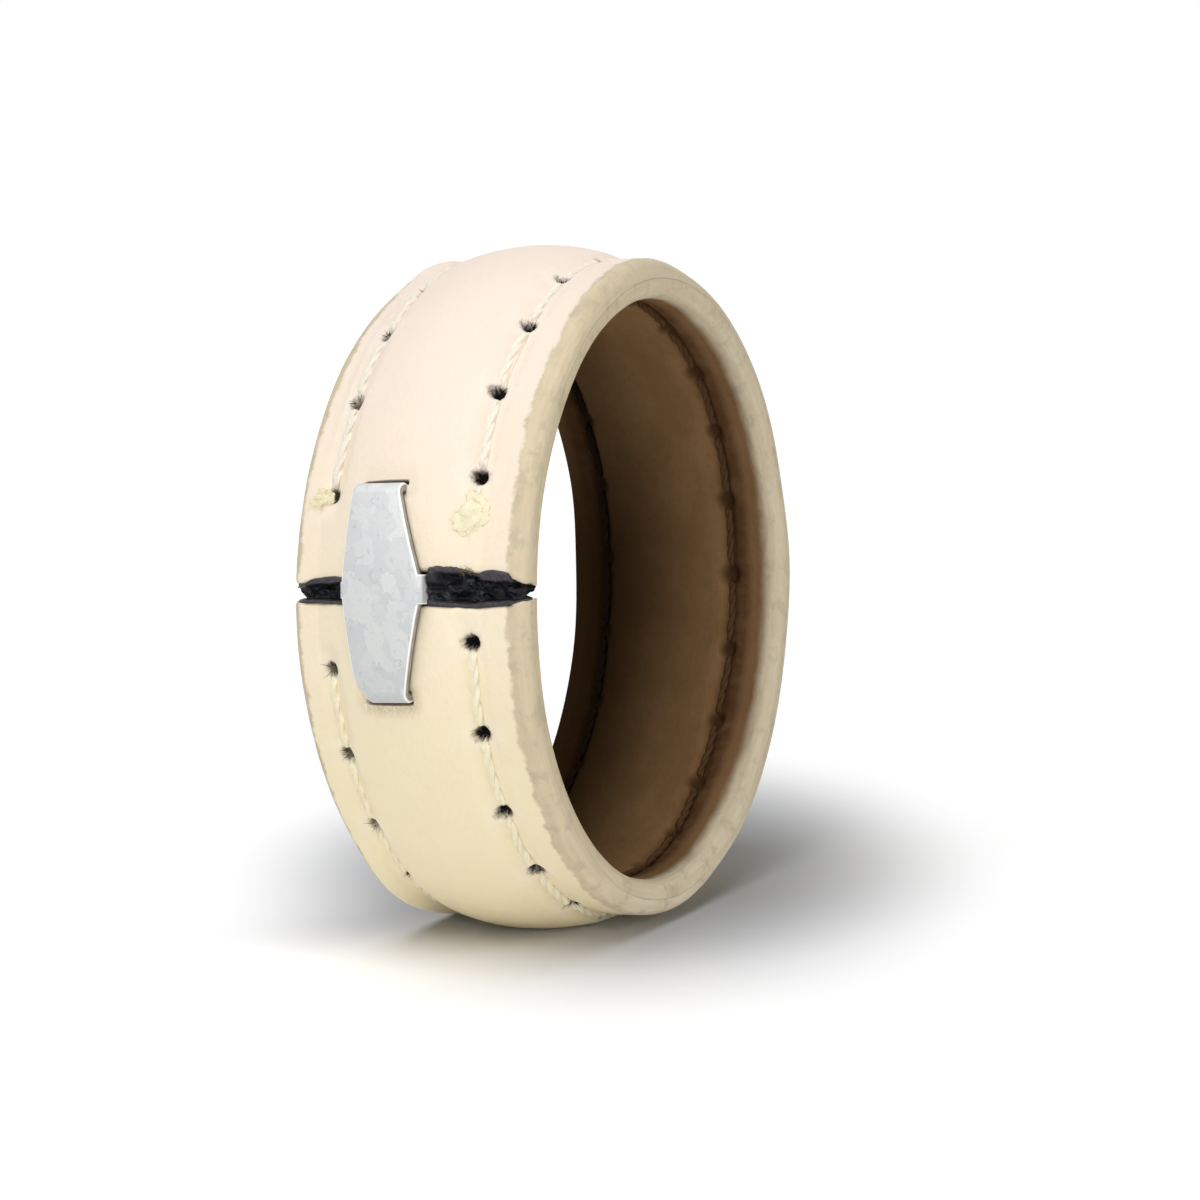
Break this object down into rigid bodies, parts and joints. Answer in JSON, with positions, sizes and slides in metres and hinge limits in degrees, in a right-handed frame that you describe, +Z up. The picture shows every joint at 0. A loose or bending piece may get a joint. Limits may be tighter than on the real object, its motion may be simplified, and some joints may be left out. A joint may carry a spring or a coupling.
{
  "type": "leather ring thimble",
  "caption": "Leather ring thimble: a domed sewn band with a brown lining, its ends joined over a black elastic insert by a steel clip.",
  "frame": {"origin": "centre of the finger hole, on the ring axis, halfway across the band", "axes": "+Y along the finger hole away from the front rim, the joint with its clip towards -X, +Z up as the ring stands on its crown"},
  "size_m": [0.0218, 0.0076, 0.0211],
  "materials": {
    "outer_leather": "smooth natural grain, undyed, cut edges bare",
    "lining_leather": "brown, matt, soft",
    "black_elastic": "black, puckered, faint sheen on the lips",
    "clip_steel": "galvanised, mottled, with bright worn edges",
    "cream_thread": "twisted waxed thread",
    "dark_thread": "twisted thread",
    "thread_seal": "dried adhesive, slightly translucent"
  },
  "bodies": {
    "root": {"outer_band": "outer_leather", "inner_lining": "lining_leather", "elastic_insert": "black_elastic", "joint_clip": "clip_steel", "front_outer_thread": "cream_thread", "front_inner_thread": "dark_thread", "rear_outer_thread": "cream_thread", "rear_inner_thread": "dark_thread", "front_end_seal": "thread_seal", "rear_end_seal": "thread_seal"}
  },
  "joints": []
}
